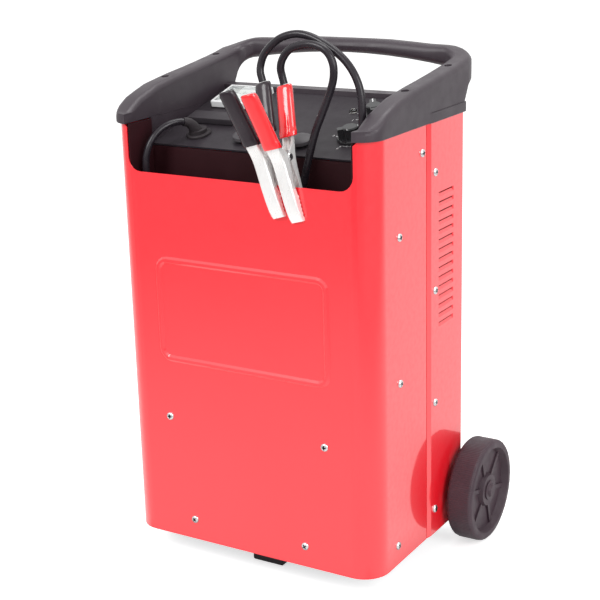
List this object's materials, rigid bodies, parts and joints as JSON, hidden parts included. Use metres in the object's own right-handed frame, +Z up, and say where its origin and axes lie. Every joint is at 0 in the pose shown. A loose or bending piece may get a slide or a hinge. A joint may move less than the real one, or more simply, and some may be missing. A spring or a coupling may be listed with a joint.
{
  "type": "wheeled car battery charger",
  "caption": "Upright wheeled charger and starter: red sheet cabinet, black top with carrying handle and sloping control panel, lead well, clamps, wheels and front foot.",
  "frame": {"origin": "middle of the footprint of the cabinet, wheels and front foot, on the floor that the wheels and the foot stand on", "axes": "+Z up, +Y from the front notch towards the handle, +X to the right seen from the front"},
  "size_m": [0.42, 0.3256, 0.632],
  "materials": {
    "red_paint": "gloss",
    "zinc_steel": "zinc plated",
    "bright_steel": "bright nickel",
    "black_plastic": "satin moulded",
    "wheel_plastic": "satin moulded",
    "black_rubber": "matte",
    "cable_pvc": "satin",
    "panel_paint": "satin",
    "white_plastic": "gloss",
    "dial_card": "matte print",
    "clear_plastic": "clear",
    "black_sleeve": "gloss dipped",
    "red_sleeve": "gloss dipped",
    "laminations": "laminated sheet",
    "bobbin_card": "pressboard",
    "copper_wire": "enamelled copper",
    "winding_tape": "varnished tape",
    "aluminium": "extruded"
  },
  "bodies": {
    "cabinet": {"front_cover": "red_paint", "rear_cover": "red_paint", "base_plate": "zinc_steel", "top_frame": "black_plastic", "storage_well": "black_plastic", "control_panel": "panel_paint", "meter_case": "white_plastic", "meter_dial": "dial_card", "meter_window": "clear_plastic", "mode_switch": "black_plastic", "rate_switch": "black_plastic", "breaker_left": "black_plastic", "breaker_right": "black_plastic", "fuse_cover": "black_plastic", "pilot_lamp": "clear_plastic", "mains_gland": "black_rubber", "transformer_core": "laminations", "bobbin": "bobbin_card", "primary_winding": "copper_wire", "secondary_winding": "winding_tape", "core_bracket_front": "zinc_steel", "core_bracket_rear": "zinc_steel", "rectifier_heatsink": "aluminium", "rectifier_diode_lower": "bright_steel", "rectifier_diode_upper": "bright_steel", "axle": "bright_steel", "axle_bracket_left": "zinc_steel", "axle_bracket_right": "zinc_steel", "wheel_cap_left": "wheel_plastic", "wheel_cap_right": "wheel_plastic", "front_foot": "black_rubber", "black_lead": "cable_pvc", "black_lead_coil": "cable_pvc", "red_lead": "cable_pvc", "red_lead_coil": "cable_pvc", "mains_lead": "cable_pvc", "mains_lead_coil": "cable_pvc", "mains_plug": "black_plastic", "black_lead_grommet": "black_rubber", "red_lead_grommet": "black_rubber", "black_clamp_rear_arm": "bright_steel", "black_clamp_rear_grip": "black_sleeve", "black_clamp_pin": "bright_steel", "black_clamp_spring": "zinc_steel", "red_clamp_rear_arm": "bright_steel", "red_clamp_rear_grip": "red_sleeve", "red_clamp_pin": "bright_steel", "red_clamp_spring": "zinc_steel"},
    "wheel_left": {"wheel_left": "wheel_plastic"},
    "wheel_right": {"wheel_right": "wheel_plastic"},
    "mode_knob": {"mode_knob": "black_plastic"},
    "rate_knob": {"rate_knob": "black_plastic"},
    "reset_button_left": {"reset_button_left": "black_rubber"},
    "reset_button_right": {"reset_button_right": "black_rubber"},
    "meter_needle": {"meter_needle": "black_sleeve"},
    "black_clamp_arm": {"black_clamp_front_arm": "bright_steel", "black_clamp_front_grip": "black_sleeve"},
    "red_clamp_arm": {"red_clamp_front_arm": "bright_steel", "red_clamp_front_grip": "red_sleeve"}
  },
  "joints": [
    {"name": "wheel_left_spin", "type": "hinge", "parent": "cabinet", "child": "wheel_left", "pos_m": [-0.1752, 0.08175, 0.0625], "axis": [1, 0, 0], "continuous": true},
    {"name": "wheel_right_spin", "type": "hinge", "parent": "cabinet", "child": "wheel_right", "pos_m": [0.1752, 0.08175, 0.0625], "axis": [1, 0, 0], "continuous": true},
    {"name": "mode_knob_turn", "type": "hinge", "parent": "cabinet", "child": "mode_knob", "pos_m": [0.091, 0.00948, 0.52509], "axis": [0, -0.2634, 0.9647], "range_deg": [-135, 135]},
    {"name": "rate_knob_turn", "type": "hinge", "parent": "cabinet", "child": "rate_knob", "pos_m": [0.092, -0.04744, 0.50955], "axis": [0, -0.2634, 0.9647], "range_deg": [-135, 135]},
    {"name": "reset_button_left_push", "type": "slide", "parent": "cabinet", "child": "reset_button_left", "axis": [0, -0.2634, 0.9647], "range_m": [-0.003, 0], "stiffness_N_per_m": 400},
    {"name": "reset_button_right_push", "type": "slide", "parent": "cabinet", "child": "reset_button_right", "axis": [0, -0.2634, 0.9647], "range_m": [-0.003, 0], "stiffness_N_per_m": 400},
    {"name": "meter_needle_swing", "type": "hinge", "parent": "cabinet", "child": "meter_needle", "pos_m": [-0.098, 0.01079, 0.5298], "axis": [0, -0.2634, 0.9647], "range_deg": [-90, 0], "stiffness_Nm_per_rad": 0.0002},
    {"name": "black_clamp_open", "type": "hinge", "parent": "cabinet", "child": "black_clamp_arm", "pos_m": [0.0366, -0.1405, 0.505], "axis": [-0.9583, 0, -0.2857], "range_deg": [0, 25], "stiffness_Nm_per_rad": 0.6, "springref_deg": -28.65},
    {"name": "red_clamp_open", "type": "hinge", "parent": "cabinet", "child": "red_clamp_arm", "pos_m": [0.0616, -0.1405, 0.503], "axis": [-0.9659, 0, -0.2588], "range_deg": [0, 25], "stiffness_Nm_per_rad": 0.6, "springref_deg": -28.65}
  ]
}
